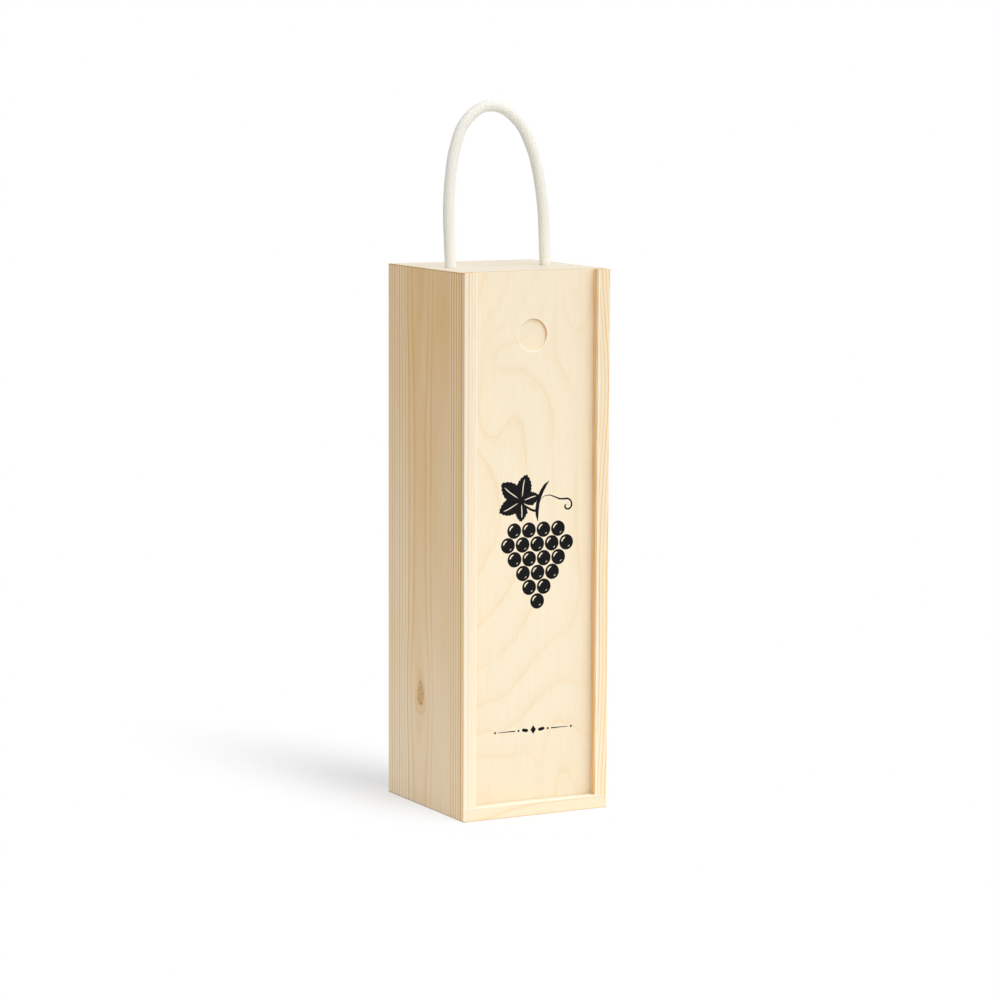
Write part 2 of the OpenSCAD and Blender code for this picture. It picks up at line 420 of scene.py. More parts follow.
# The leaf: five pointed lobes with small teeth, and a bare vein up the middle of each. A lobe has an angle
# in degrees and a size as a share of the leaf
LOBES = ((-128, 0.70), (-62, 0.92), (0, 1.0), (62, 0.92), (128, 0.70))
LEAF_X, LEAF_Z, LEAF_R, LEAF_TURN = -8.0, 209.0, 19.0, 140
outline = []
for step in range(240):
    angle = -180 + 1.5 * step
    reach = 0.42
    for lobe, size in LOBES:
        near = max(0.0, 1 - abs(angle - lobe) / 36)
        reach = max(reach, size * (0.48 + 0.52 * near ** 0.8))
    reach = min(reach, 0.10 + (180 - abs(angle)) / 55)
    reach += 0.045 * (1 - abs(2 * (step / 5 % 1) - 1)) * min(1.0, (180 - abs(angle)) / 30)
    turn = math.radians(angle + LEAF_TURN)
    outline.append((LEAF_X + LEAF_R * reach * math.cos(turn), LEAF_Z + LEAF_R * reach * math.sin(turn)))
veins = []
for lobe, size in LOBES:
    turn = math.radians(lobe + LEAF_TURN)
    line = [(LEAF_X + LEAF_R * size * t * math.cos(turn + 0.08 * math.sin(3 * t)),
             LEAF_Z + LEAF_R * size * t * math.sin(turn + 0.08 * math.sin(3 * t)))
            for t in (0.16, 0.28, 0.40, 0.52, 0.64, 0.76, 0.84)]
    veins.append(strip(line, 0.7))
leaf = printed("print_leaf", [outline] + veins)

# The stem that carries both, the stalk of the leaf, and a tendril that curls
stalk = [(-6.5, 207), (-4, 204.8), (-1, 203), (2, 202), (4.2, 202)]
stem_line = [(4.2, 195), (3.6, 199), (3.6, 203), (4.2, 207), (5.4, 211), (7.2, 215), (9.6, 218.6), (12.4, 221.4)]
curl = [(5.6, 209), (9, 211.5), (13, 212), (17, 210.5), (20.5, 209), (24, 208.8)]
for angle in range(0, 341, 20):
    coil_r = 4.6 - 0.012 * angle
    curl.append((26 + coil_r * math.sin(math.radians(angle)), 204.4 + coil_r * math.cos(math.radians(angle))))
stem = printed("print_stem", [strip(stem_line, 2.6)], 0.00003)

# The rule under the bunch: fine lines, a diamond between two small leaves, and dots
RULE_X, RULE_Z = 1.5, 56.0
rule_parts = [[(0, 2.9), (-2.1, 0), (0, -2.9), (2.1, 0)]]
for sign in (-1, 1):
    rule_parts.append(strip([(sign * x, 0.25 * math.sin(x)) for x in (3.6, 4.6, 5.6, 6.6, 7.6, 8.6)], 2.2))
    rule_parts.append(arc(sign * 11, 0, 0.75, 0, 330, 11))
    rule_parts.append([(sign * 13.5, 0.40), (sign * 26, 0.18), (sign * 26, -0.18), (sign * 13.5, -0.40)])
    rule_parts.append(arc(sign * 28.5, 0, 0.75, 0, 330, 11))
rule = printed("print_rule", [[(x + RULE_X, z + RULE_Z) for x, z in part] for part in rule_parts])

leaf_stalk = printed("print_twig_1", [strip(stalk, 1.5)], 0.00001)
tendril = printed("print_twig_2", [strip(curl, 1.15)], 0.00002)
prints = [bunch, leaf, stem, rule, leaf_stalk, tendril]
for shape in prints:
    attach(shape, "lid")


# Materials

def place_in_mm(tree):
    """The place on a piece at rest, in mm of the box's own space."""
    place = add(tree, "ShaderNodeTexCoord", out="Object")
    return add(tree, "ShaderNodeVectorMath", {0: place, "Scale": 1000.0}, operation="SCALE")


def swelling(tree, where, middle, half):
    """1 at the middle, falling softly to nothing past the half sizes, all in mm."""
    near = add(tree, "ShaderNodeMapping", {"Vector": where, "Location": middle, "Scale": half}, vector_type="TEXTURE")
    far = add(tree, "ShaderNodeVectorMath", {0: near, 1: near}, out="Value", operation="DOT_PRODUCT")
    far = add(tree, "ShaderNodeMath", {0: far, 1: -1.0}, operation="MULTIPLY")
    return add(tree, "ShaderNodeMath", {0: far}, operation="EXPONENT")


def pine(name, pith, turned=(0, 0, 0), grain=(0, 0, 1), *, start, spacing, growth, pale, heart, late, seed,
         wander=1.6, shake=0.4, narrow=("Z", 0, 360, 3.2, 3.2), show=(), slopes=(), swells=(), edges=(), darker_bands=(),
         knot=None):
    """Bare sanded pine. Pale earlywood that darkens to an orange latewood line and stops sharply at
    each year ring; warmer towards the heart; short fibres along the grain; ends darker and rougher;
    a soft surface with a faint gloss, paler where the edges were broken with sandpaper, a pale that is
    also a painted highlight along them.

    In mm. The rings lie round a pith line, which a turn in degrees tilts. Ring 100 has the radius start and
    the width spacing, and each one outside it is wider by the share growth. What changes from place to place
    is given in rows: X, Y, Z or ring, from, to, and the value at each. narrow says how thin the orange lines
    are, show how plainly they show, slopes how warm the wood is. A swell is a middle, half sizes and how far
    the rings move out. A knot is a middle and half sizes. An edge is a point on it and the axes across it; it
    is paler, both as sanded wear and as a painted highlight. A darker band is a colour and the rows that limit
    it; at a foot it is painted shade where the board meets the floor."""
    material, tree, shader = new_material(name)
    where = place_in_mm(tree)
    parts = add(tree, "ShaderNodeSeparateXYZ", {0: where}).node.outputs
    from_pith = add(tree, "ShaderNodeMapping", {
        "Vector": where, "Location": pith, "Rotation": [math.radians(c) for c in turned],
    }, vector_type="TEXTURE")

    # The log wanders slowly along its length, and shakes a little over a few centimetres
    slow = add(tree, "ShaderNodeMapping", {"Vector": from_pith, "Location": (seed, seed, seed),
                                           "Scale": (1 / 55, 1 / 55, 1 / 170)})
    drift = add(tree, "ShaderNodeTexNoise", {"Vector": slow, "Scale": 1.0, "Detail": 1.0}, out="Color")
    drift = add(tree, "ShaderNodeVectorMath", {0: drift, 1: (0.5, 0.5, 0.5)}, operation="SUBTRACT")
    quick = add(tree, "ShaderNodeMapping", {"Vector": from_pith, "Location": (seed, 3.0, seed),
                                            "Scale": (1 / 9, 1 / 9, 1 / 34)})
    jitter = add(tree, "ShaderNodeTexNoise", {"Vector": quick, "Scale": 1.0, "Detail": 2.0}, out="Color")
    jitter = add(tree, "ShaderNodeVectorMath", {0: jitter, 1: (0.5, 0.5, 0.5)}, operation="SUBTRACT")
    moved = add(tree, "ShaderNodeVectorMath", {0: drift, 1: (wander * 2.6,) * 3, 2: from_pith},
                operation="MULTIPLY_ADD")
    moved = add(tree, "ShaderNodeVectorMath", {0: jitter, 1: (shake,) * 3, 2: moved}, operation="MULTIPLY_ADD")
    across_log = add(tree, "ShaderNodeVectorMath", {0: moved, 1: (1, 1, 0)}, operation="MULTIPLY")
    radius = add(tree, "ShaderNodeVectorMath", {0: across_log}, out="Value", operation="LENGTH")

    # Where the log swells, mostly round a branch
    for middle, half, swell in swells:
        hill = swelling(tree, where, middle, half)
        radius = add(tree, "ShaderNodeMath", {0: hill, 1: -swell, 2: radius}, operation="MULTIPLY_ADD")

    # Year rings, a little wider further out
    ring = add(tree, "ShaderNodeMath", {0: radius, 1: start}, operation="SUBTRACT")
    ring = add(tree, "ShaderNodeMath", {0: ring, 1: growth / spacing, 2: 1.0}, operation="MULTIPLY_ADD")
    ring = add(tree, "ShaderNodeMath", {0: ring, 1: math.e}, operation="LOGARITHM")
    ring = add(tree, "ShaderNodeMath", {0: ring, 1: 1 / growth, 2: 100.0}, operation="MULTIPLY_ADD")
    year = add(tree, "ShaderNodeMath", {0: ring}, operation="FLOOR")
    season = add(tree, "ShaderNodeMath", {0: ring}, operation="FRACT")
    year = add(tree, "ShaderNodeMath", {0: year, 1: seed}, operation="ADD")
    luck = add(tree, "ShaderNodeTexWhiteNoise", {"W": year}, noise_dimensions="1D")
    late_part = add(tree, "ShaderNodeValToRGB", {0: season}, stops=(
        (0.0, 0.20), (1.0, 0.20), (0.10, 0.02), (0.30, 0.15), (0.85, 0.92), (0.92, 1.0), (0.97, 0.90)))
    where_to = {"X": parts["X"], "Y": parts["Y"], "Z": parts["Z"], "ring": ring}
    axis, low, high, at_low, at_high = narrow
    thin = add(tree, "ShaderNodeMapRange", {"Value": where_to[axis], "From Min": low, "From Max": high,
                                            "To Min": at_low, "To Max": at_high})
    late_part = add(tree, "ShaderNodeMath", {0: late_part, 1: thin}, operation="POWER")
    strength = add(tree, "ShaderNodeMath", {0: luck, 1: 0.50, 2: 0.50}, operation="MULTIPLY_ADD")
    late_part = add(tree, "ShaderNodeMath", {0: late_part, 1: strength}, operation="MULTIPLY")

    # How plainly the rings show from place to place, and how warm the wood is there
    for axis, low, high, at_low, at_high in show:
        level = add(tree, "ShaderNodeMapRange", {"Value": where_to[axis], "From Min": low, "From Max": high,
                                                 "To Min": at_low, "To Max": at_high})
        late_part = add(tree, "ShaderNodeMath", {0: late_part, 1: level}, operation="MULTIPLY")
    tone_place = add(tree, "ShaderNodeMapping", {"Vector": from_pith, "Location": (5.0, seed, 1.0),
                                                 "Scale": (1 / 30, 1 / 30, 1 / 120)})
    tone = add(tree, "ShaderNodeTexNoise", {"Vector": tone_place, "Scale": 1.0, "Detail": 2.0})
    warmth = add(tree, "ShaderNodeMapRange", {"Value": tone, "From Min": 0.3, "From Max": 0.7,
                                              "To Min": 0.6, "To Max": 1.0})
    for axis, low, high, at_low, at_high in slopes:
        level = add(tree, "ShaderNodeMapRange", {"Value": where_to[axis], "From Min": low, "From Max": high,
                                                 "To Min": at_low, "To Max": at_high})
        warmth = add(tree, "ShaderNodeMath", {0: warmth, 1: level}, operation="MULTIPLY")
    wood = add(tree, "ShaderNodeMix", {0: warmth, 6: linear(pale), 7: linear(heart)}, out=2, data_type="RGBA")
    wood = add(tree, "ShaderNodeMix", {0: late_part, 6: wood, 7: linear(late)}, out=2, data_type="RGBA")

    # Fibres, a millimetre or less across and some centimetres long
    fibre_place = add(tree, "ShaderNodeMapping", {"Vector": moved, "Scale": (1.5, 1.5, 0.05)})
    fibre = add(tree, "ShaderNodeTexNoise", {"Vector": fibre_place, "Scale": 1.0, "Detail": 3.0, "Roughness": 0.6})
    fleck = add(tree, "ShaderNodeMapRange", {"Value": fibre, "From Min": 0.25, "From Max": 0.75,
                                             "To Min": 0.93, "To Max": 1.03})
    wood = add(tree, "ShaderNodeVectorMath", {0: wood, 1: fleck}, operation="MULTIPLY")

    # A knot: the end of a branch, brown and speckled, with a dark rim and a warm halo
    if knot:
        middle, half = knot
        near = add(tree, "ShaderNodeMapping", {"Vector": where, "Location": middle, "Scale": half},
                   vector_type="TEXTURE")
        ragged = add(tree, "ShaderNodeTexNoise", {"Vector": where, "Scale": 0.35, "Detail": 3.0}, out="Color")
        ragged = add(tree, "ShaderNodeVectorMath", {0: ragged, 1: (0.5, 0.5, 0.5)}, operation="SUBTRACT")
        near = add(tree, "ShaderNodeVectorMath", {0: ragged, 1: (0.0, 0.22, 0.18), 2: near}, operation="MULTIPLY_ADD")
        bits = add(tree, "ShaderNodeSeparateXYZ", {0: near}).node.outputs
        point = add(tree, "ShaderNodeMapRange", {"Value": bits["Z"], "From Min": -0.4, "From Max": 1.4,
                                                 "To Min": 1.0, "To Max": 2.6})
        wide = add(tree, "ShaderNodeMath", {0: bits["Y"], 1: point}, operation="MULTIPLY")
        near = add(tree, "ShaderNodeCombineXYZ", {"Y": wide, "Z": bits["Z"]})
        far = add(tree, "ShaderNodeVectorMath", {0: near}, out="Value", operation="LENGTH")
        speck = add(tree, "ShaderNodeTexNoise", {"Vector": where, "Scale": 0.7, "Detail": 2.0})
        speck = add(tree, "ShaderNodeMapRange", {"Value": speck, "From Min": 0.34, "From Max": 0.70})
        brown = add(tree, "ShaderNodeMix", {0: speck, 6: linear("#BA8234"), 7: linear("#EDC684")}, out=2,
                    data_type="RGBA")
        halo = add(tree, "ShaderNodeValToRGB", {0: far}, stops=(
            (0.0, 0.80), (1.0, 0.0), (0.32, 0.88), (0.43, 1.0), (0.50, 0.30), (0.70, 0.14), (0.78, 0.32), (0.85, 0.08)))
        wood = add(tree, "ShaderNodeMix", {0: halo, 6: wood, 7: brown}, out=2, data_type="RGBA")

    # End grain: cut across the fibres, so it drinks more and stays rougher
    facing = add(tree, "ShaderNodeNewGeometry", out="Normal")
    facing = add(tree, "ShaderNodeVectorMath", {0: facing, 1: grain}, out="Value", operation="DOT_PRODUCT")
    facing = add(tree, "ShaderNodeMath", {0: facing}, operation="ABSOLUTE")
    ends = add(tree, "ShaderNodeMapRange", {"Value": facing, "From Min": 0.6, "From Max": 0.9})
    wood = add(tree, "ShaderNodeMix", {0: ends, 6: wood, 7: linear("#F2DDBB")}, out=2, data_type="RGBA",
               blend_type="MULTIPLY")

    # Broken edges are paler, both as sanded wear and as a painted highlight along them. Darker bands: at the foot a
    # brownish painted shade where the board meets the floor, and a thin brown line along an upper edge
    worn_and_highlit = None
    for corner, plane in edges:
        off = add(tree, "ShaderNodeVectorMath", {0: where, 1: corner}, operation="SUBTRACT")
        off = add(tree, "ShaderNodeVectorMath", {0: off, 1: plane}, operation="MULTIPLY")
        off = add(tree, "ShaderNodeVectorMath", {0: off}, out="Value", operation="LENGTH")
        worn_and_highlit = add(tree, "ShaderNodeMath", {0: off, 1: worn_and_highlit if worn_and_highlit else 99.0}, operation="MINIMUM")
    if worn_and_highlit:
        worn_and_highlit = add(tree, "ShaderNodeMath", {0: tone, 1: -0.6, 2: worn_and_highlit}, operation="MULTIPLY_ADD")
        worn_and_highlit = add(tree, "ShaderNodeMapRange", {"Value": worn_and_highlit, "From Min": 0.0, "From Max": 0.75,
                                                "To Min": 0.95, "To Max": 0.0}, interpolation_type="SMOOTHSTEP")
        wood = add(tree, "ShaderNodeMix", {0: worn_and_highlit, 6: wood, 7: linear("#FFF9E9")}, out=2, data_type="RGBA")
    for colour, reach in darker_bands:
        band_share = 1.0
        for axis, low, high, at_low, at_high in reach:
            level = add(tree, "ShaderNodeMapRange", {"Value": where_to[axis], "From Min": low, "From Max": high,
                                                     "To Min": at_low, "To Max": at_high})
            band_share = add(tree, "ShaderNodeMath", {0: level, 1: band_share}, operation="MULTIPLY")
        wood = add(tree, "ShaderNodeMix", {0: band_share, 6: wood, 7: linear(colour)}, out=2, data_type="RGBA")
    tree.links.new(wood, shader.inputs["Base Color"])

    rough = add(tree, "ShaderNodeMapRange", {"Value": fibre, "From Min": 0.25, "From Max": 0.75,
                                             "To Min": 0.40, "To Max": 0.56})
    rough = add(tree, "ShaderNodeMath", {0: ends, 1: 0.18, 2: rough}, operation="MULTIPLY_ADD")
    tree.links.new(rough, shader.inputs["Roughness"])
    relief = add(tree, "ShaderNodeMath", {0: late_part, 1: 0.4, 2: fibre}, operation="MULTIPLY_ADD")
    bump = add(tree, "ShaderNodeBump", {"Height": relief, "Strength": 0.12, "Distance": 0.0002}, out="Normal")
    tree.links.new(bump, shader.inputs["Normal"])
    shader.inputs["IOR"].default_value = 1.47
    return material


# Left side: fine even rings at both edges, plainest at the front, a broad warm heart between them and a knot
# low down. Its front edge (X over -53.6) is paler than its face, with weaker lines: the face, turned away from
# the lamps, is painted warmer, and warmer still towards the top, as painted shade over the wood's own heart
# tone. A dark painted shade line runs along its foot, and a thin brown line along the top of its face
wear(side_left, pine(
    "bare pine, left side", (36, 8, 0), start=90.55, spacing=1.05, growth=0.055, wander=0.15, shake=0.22,
    pale="#FEF0D6", heart="#F3CB8E", late="#E7AF4A", seed=2.0,
    slopes=(("X", -53.9, -53.6, 1.0, 0.0), ("Z", 20, 110, 0.55, 1.0), ("Z", 140, 340, 0.85, 1.25),
            ("Y", 10, 32, 1.0, 0.50), ("Y", -38, -34, 0.35, 1.0), ("Y", -18, -8, 0.85, 1.0)),
    show=(("X", -53.9, -53.6, 1.0, 0.28), ("Y", -38, -34, 1.8, 0.35), ("Y", -15, 2, 0.8, 2.6),
          ("Z", 0, 360, 0.88, 1.4), ("ring", 98.95, 99.05, 0.20, 1.0)),
    narrow=("Y", -38, -34, 1.0, 2.8),
    swells=(((-54, 7, 76.5), (40, 25, 42), 0.78), ((-54, 10, 350), (40, 25, 50), 0.62)),
    knot=((-54, 7, 76.5), (400, 12.5, 18.5)),
    edges=(((-54, -56, 0), (1, 1, 0)), ((-54, 56, 0), (1, 1, 0)), ((-45, -56, 0), (1, 1, 0))),
    darker_bands=(("#8F6C44", (("Z", 0.1, 0.8, 0.9, 0.0),)),
            ("#8A6A42", (("Z", 359.1, 359.8, 0.0, 0.6), ("X", -53.9, -53.6, 1.0, 0.0))))))

# Right side: wide rings in long arches on its face, plain orange lines on its front edge that lean near the
# top, and on its inner face a warm strip just in front of the lid, partly the wood's latewood and partly
# painted shade in the corner beside the lid. A light brown painted shade line runs along its foot
wear(side_right, pine(
    "bare pine, right side", (-30, -20, 0), (0, 1.1, 0), start=80, spacing=2.3, growth=0.02, wander=0.6, shake=0.25,
    pale="#FBE9C8", heart="#ECB362", late="#EFB450", seed=5.0,
    slopes=(("X", 45.1, 45.6, 1.0, 0.06), ("Y", -53.6, -52.6, 0.05, 1.0), ("Y", -51.0, -49.0, 1.0, 0.25)),
    show=(("Z", 0, 360, 0.8, 1.0), ("Y", -55, -50, 1.1, 0.9)), narrow=("Y", -54, -50, 3.2, 4.0),
    swells=(((50, -56, 285), (60, 60, 60), 3.6), ((50, -56, 80), (60, 60, 50), 1.6),
            ((50, -56, 365), (60, 12, 55), -3.5)),
    edges=(((54, -56, 0), (1, 1, 0)), ((54, 0, 360), (1, 0, 1)), ((54, 56, 0), (1, 1, 0)),
           ((45, -56, 0), (1, 1, 0))),
    darker_bands=(("#D9B077", (("Z", 0.1, 0.8, 0.9, 0.0),)),)))

# Top and bottom: their grain runs from side to side. The top is nearly white, partly the wood's own pale tone
# and partly a painted sheen of its top face, and its front edge is pale. The bottom has one or two wide rings,
# a pale ledge in front of the lid that is a painted highlight where its top face takes the light, and a
# painted shade line along its foot
wear(top, pine(
    "bare pine, top", (0, 6, 300), (0, 90, 0), (1, 0, 0), start=50, spacing=1.6, growth=0.02,
    pale="#F8F2E4", heart="#F5EAD6", late="#E6CDA4", edges=(((0, -56, 360), (0, 1, 1)),), seed=7.0))
wear(bottom, pine(
    "bare pine, bottom", (0, -30, 60), (0, 90, 0), (1, 0, 0), start=49.9, spacing=9.0, growth=0.02, wander=0.3,
    pale="#F9EACF", heart="#F7E4C4", late="#EDB45A", show=(("X", -54, 54, 0.45, 0.60),),
    narrow=("X", -54, 54, 5.0, 6.0), swells=(((-50, -56, 5), (30, 60, 60), 8.0),),
    edges=(((0, -56, 9), (0, 1, 1)), ((0, -52.5, 9), (0, 0.1, 1))),
    darker_bands=(("#E3B878", (("Z", 0.1, 0.8, 0.9, 0.0),)),), seed=11.0))


THROUGH = 1e6       # a half size that reaches right through a sheet


def plywood(name, outer_y, inward, seed, hills=(), slope=(0.0, 0.0, 0.0), rim=None):
    """Bare sanded birch plywood of three plies. A smooth pale face, where the peeled veneer shows the
    year rings as faint peach contours; across its edges, a darker core with the glue lines beside it.

    In mm. outer_y is where the outer face lies, and inward is 1 or -1. A hill is across, up, half width, half
    height and rise. The slope is the rise over 50 mm across, the rise over 180 mm up, and the start. The rim
    of a recess is across, up and radius."""
    material, tree, shader = new_material(name)
    where = place_in_mm(tree)
    parts = add(tree, "ShaderNodeSeparateXYZ", {0: where}).node.outputs

    # Height of the log's surface over the sheet: a slope, hills and hollows, and a slow wander
    height = add(tree, "ShaderNodeVectorMath", {0: where, 1: (slope[0] / 50, 0, slope[1] / 180)}, out="Value",
                 operation="DOT_PRODUCT")
    height = add(tree, "ShaderNodeMath", {0: height, 1: slope[2]}, operation="ADD")
    for x, z, wide, high, rise in hills:
        hill = swelling(tree, where, (x, 0, z), (wide, THROUGH, high))
        height = add(tree, "ShaderNodeMath", {0: hill, 1: rise, 2: height}, operation="MULTIPLY_ADD")
    slow = add(tree, "ShaderNodeMapping", {"Vector": where, "Location": (seed, seed, seed),
                                           "Scale": (1 / 30, 1 / 30, 1 / 60)})
    wander = add(tree, "ShaderNodeTexNoise", {"Vector": slow, "Scale": 1.0, "Detail": 2.0})
    height = add(tree, "ShaderNodeMath", {0: wander, 1: 0.5 if hills else 9.0, 2: height}, operation="MULTIPLY_ADD")
    season = add(tree, "ShaderNodeMath", {0: height}, operation="FRACT")
    contour = add(tree, "ShaderNodeValToRGB", {0: season}, stops=(
        (0.0, 0.60), (1.0, 0.60), (0.03, 0.20), (0.12, 0.02), (0.55, 0.0), (0.90, 0.20)))
    patch = add(tree, "ShaderNodeMapRange", {"Value": wander, "From Min": 0.35, "From Max": 0.6,
                                             "To Min": 0.35, "To Max": 1.0})
    high_up = add(tree, "ShaderNodeMapRange", {"Value": parts["Z"], "From Min": 240.0, "From Max": 330.0,
                                               "To Min": 0.95, "To Max": 0.60})
    contour = add(tree, "ShaderNodeMath", {0: contour, 1: patch}, operation="MULTIPLY")
    contour = add(tree, "ShaderNodeMath", {0: contour, 1: high_up}, operation="MULTIPLY")
    face = add(tree, "ShaderNodeMix", {0: contour, 6: linear("#FAEBCE"), 7: linear("#F4D8A8")}, out=2,
               data_type="RGBA")

    # Depth under the outer face, which tells one ply from the next in the 4 mm sheet
    depth = add(tree, "ShaderNodeMath", {0: parts["Y"], 1: inward, 2: -outer_y * inward}, operation="MULTIPLY_ADD")
    ply = add(tree, "ShaderNodeMath", {0: depth, 1: 0.25}, operation="MULTIPLY")
    plies = add(tree, "ShaderNodeValToRGB", {0: ply}, stops=(
        (0.0, "#F3DDB8"), (0.71, "#F1DAB4"), (0.29, "#C0904F"), (0.32, "#DBAE6C"), (0.68, "#C0904F")))
    plies.node.color_ramp.interpolation = "CONSTANT"
    speck = add(tree, "ShaderNodeTexNoise", {"Vector": where, "Scale": 2.2, "Detail": 2.0})
    speck = add(tree, "ShaderNodeMapRange", {"Value": speck, "From Min": 0.3, "From Max": 0.7,
                                             "To Min": 0.90, "To Max": 1.05})
    edge = add(tree, "ShaderNodeVectorMath", {0: plies, 1: speck}, operation="MULTIPLY")
    facing = add(tree, "ShaderNodeNewGeometry", out="Normal")
    facing = add(tree, "ShaderNodeVectorMath", {0: facing, 1: (0, 1, 0)}, out="Value", operation="DOT_PRODUCT")
    facing = add(tree, "ShaderNodeMath", {0: facing}, operation="ABSOLUTE")
    flat = add(tree, "ShaderNodeMapRange", {"Value": facing, "From Min": 0.4, "From Max": 0.8})
    wood = add(tree, "ShaderNodeMix", {0: flat, 6: edge, 7: face}, out=2, data_type="RGBA")

    # Fine fibres along the height, a lower part darkened as painted shade against the light the floor throws up,
    # and the thumb recess: its wall painted pale as painted light against the shade inside it, its broken rim pale
    # both as sanded wear and as a painted highlight, and a brown line at the upper side as painted shade
    fibre_place = add(tree, "ShaderNodeMapping", {"Vector": where, "Scale": (1.2, 1.2, 0.06)})
    fibre = add(tree, "ShaderNodeTexNoise", {"Vector": fibre_place, "Scale": 1.0, "Detail": 3.0, "Roughness": 0.6})
    fleck = add(tree, "ShaderNodeMapRange", {"Value": fibre, "From Min": 0.25, "From Max": 0.75,
                                             "To Min": 0.965, "To Max": 1.02})
    wood = add(tree, "ShaderNodeVectorMath", {0: wood, 1: fleck}, operation="MULTIPLY")
    # Darker towards the bottom: painted shade against the light the floor throws up
    low_painted_shade = add(tree, "ShaderNodeMapRange", {"Value": parts["Z"], "From Min": 0.0, "From Max": 160.0,
                                            "To Min": 0.915, "To Max": 1.0})
    wood = add(tree, "ShaderNodeVectorMath", {0: wood, 1: low_painted_shade}, operation="MULTIPLY")
    if rim:
        x, z, radius = rim
        off = add(tree, "ShaderNodeVectorMath", {0: where, 1: (x, 0, z)}, operation="SUBTRACT")
        off = add(tree, "ShaderNodeVectorMath", {0: off, 1: (1, 0, 1)}, operation="MULTIPLY")
        slant = add(tree, "ShaderNodeVectorMath", {0: off, 1: (0.6, 0, 0.8)}, out="Value", operation="DOT_PRODUCT")
        upper = add(tree, "ShaderNodeMapRange", {"Value": slant, "From Min": 2.0, "From Max": 7.0})
        off = add(tree, "ShaderNodeVectorMath", {0: off}, out="Value", operation="LENGTH")
        wall = add(tree, "ShaderNodeMath", {0: off, 1: radius + 0.4}, operation="LESS_THAN")
        upright = add(tree, "ShaderNodeMath", {0: flat, 1: -0.85, 2: 0.85}, operation="MULTIPLY_ADD")
        wall = add(tree, "ShaderNodeMath", {0: wall, 1: upright}, operation="MULTIPLY")
        # The recess wall is painted pale: painted light against the shade inside the recess
        wood = add(tree, "ShaderNodeMix", {0: wall, 6: wood, 7: linear("#FDF1D8")}, out=2, data_type="RGBA")
        # A brown line on the upper side of the rim: painted shade
        rim_painted_shade = add(tree, "ShaderNodeMapRange", {"Value": off, "From Min": radius - 1.0, "From Max": radius - 0.5,
                                                  "To Max": 0.6})
        within = add(tree, "ShaderNodeMath", {0: off, 1: radius + 0.06}, operation="LESS_THAN")
        rim_painted_shade = add(tree, "ShaderNodeMath", {0: rim_painted_shade, 1: within}, operation="MULTIPLY")
        rim_painted_shade = add(tree, "ShaderNodeMath", {0: rim_painted_shade, 1: upper}, operation="MULTIPLY")
        wood = add(tree, "ShaderNodeMix", {0: rim_painted_shade, 6: wood, 7: linear("#EFB765")}, out=2, data_type="RGBA")
        # The rim is pale all round: sanded wear and painted highlight
        off = add(tree, "ShaderNodeMath", {0: off, 1: radius + 0.25}, operation="SUBTRACT")
        off = add(tree, "ShaderNodeMath", {0: off}, operation="ABSOLUTE")
        worn_and_highlit = add(tree, "ShaderNodeMapRange", {"Value": off, "From Min": 0.15, "From Max": 0.50,
                                                "To Min": 0.9, "To Max": 0.0})
        shallow = add(tree, "ShaderNodeMath", {0: depth, 1: 0.35}, operation="LESS_THAN")
        worn_and_highlit = add(tree, "ShaderNodeMath", {0: worn_and_highlit, 1: shallow}, operation="MULTIPLY")
        wood = add(tree, "ShaderNodeMix", {0: worn_and_highlit, 6: wood, 7: linear("#FFFCF4")}, out=2, data_type="RGBA")
    tree.links.new(wood, shader.inputs["Base Color"])
    rough = add(tree, "ShaderNodeMapRange", {"Value": fibre, "From Min": 0.25, "From Max": 0.75,
                                             "To Min": 0.38, "To Max": 0.50})
    rough = add(tree, "ShaderNodeMath", {0: flat, 1: -0.18, 2: rough}, operation="MULTIPLY_ADD")
    rough = add(tree, "ShaderNodeMath", {0: rough, 1: 0.18}, operation="ADD")
    tree.links.new(rough, shader.inputs["Roughness"])
    bump = add(tree, "ShaderNodeBump", {"Height": fibre, "Strength": 0.08, "Distance": 0.0002}, out="Normal")
    tree.links.new(bump, shader.inputs["Normal"])
    shader.inputs["IOR"].default_value = 1.47
    return material


# Hills and hollows of the lid's veneer
LID_HILLS = (
    (8, 4, 10, 43, -1.3), (-41, 13, 45, 40, 2.5), (15, 35, 30, 89, 2.1), (-48, 39, 32, 89, 2.3),
    (42, 100, 45, 89, -1.7), (-16, 185, 45, 68, -0.8), (-41, 239, 28, 14, -0.1), (-34, 269, 15, 29, 1.7),
    (11, 274, 23, 25, -0.5), (-27, 307, 20, 18, 1.5), (8, 308, 44, 44, 1.1), (30, 360, 13, 34, 2.8),
)
wear(lid, plywood("bare birch plywood, lid", LID_FACE * 1000, 1, 1.0, LID_HILLS, (2.5, -1.5, 4.35), (0, 318, 10.75)))
wear(back, plywood("bare birch plywood, back", 56.0, -1, 9.0))


def bright_steel():
    """Drawn steel wire with headed ends. Bright, a little rough from the die."""
    material, tree, shader = new_material("bright drawn steel")
    where = place_in_mm(tree)
    grit = add(tree, "ShaderNodeTexNoise", {"Vector": where, "Scale": 6.0, "Detail": 2.0})
    tone = add(tree, "ShaderNodeMix", {0: grit, 6: linear("#A9A9AB"), 7: linear("#C6C6C8")}, out=2, data_type="RGBA")
    tree.links.new(tone, shader.inputs["Base Color"])
    rough = add(tree, "ShaderNodeMath", {0: grit, 1: 0.2, 2: 0.25}, operation="MULTIPLY_ADD")
    tree.links.new(rough, shader.inputs["Roughness"])
    bump = add(tree, "ShaderNodeBump", {"Height": grit, "Strength": 0.15, "Distance": 0.0001}, out="Normal")
    tree.links.new(bump, shader.inputs["Normal"])
    shader.inputs["Metallic"].default_value = 1.0
    return material


wear(pins, bright_steel())


